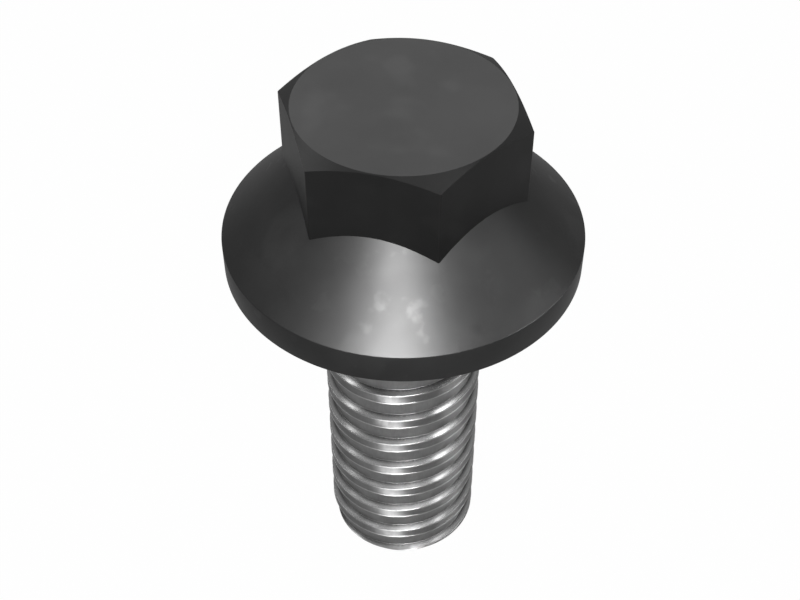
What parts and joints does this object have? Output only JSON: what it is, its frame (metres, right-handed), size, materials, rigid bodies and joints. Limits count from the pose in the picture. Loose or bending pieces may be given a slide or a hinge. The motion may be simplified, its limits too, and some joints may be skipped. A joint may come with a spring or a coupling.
{
  "type": "flange bolt",
  "caption": "Hexagon flange bolt in one piece: dark chamfered head on a wide conical flange, short plain neck and bright coarse thread with a chamfered tip.",
  "frame": {"origin": "centre of the bearing face, the flat underside of the flange, on the bolt's axis", "axes": "+Z along the bolt's axis from the tip towards the head; two flats of the hexagon face +Y and -Y"},
  "size_m": [0.017, 0.017, 0.0285],
  "materials": {
    "bolt_steel": "satin black oxide on the head and flange, bright bare steel on the neck and thread"
  },
  "bodies": {
    "root": {"flange_bolt": "bolt_steel"}
  },
  "joints": []
}
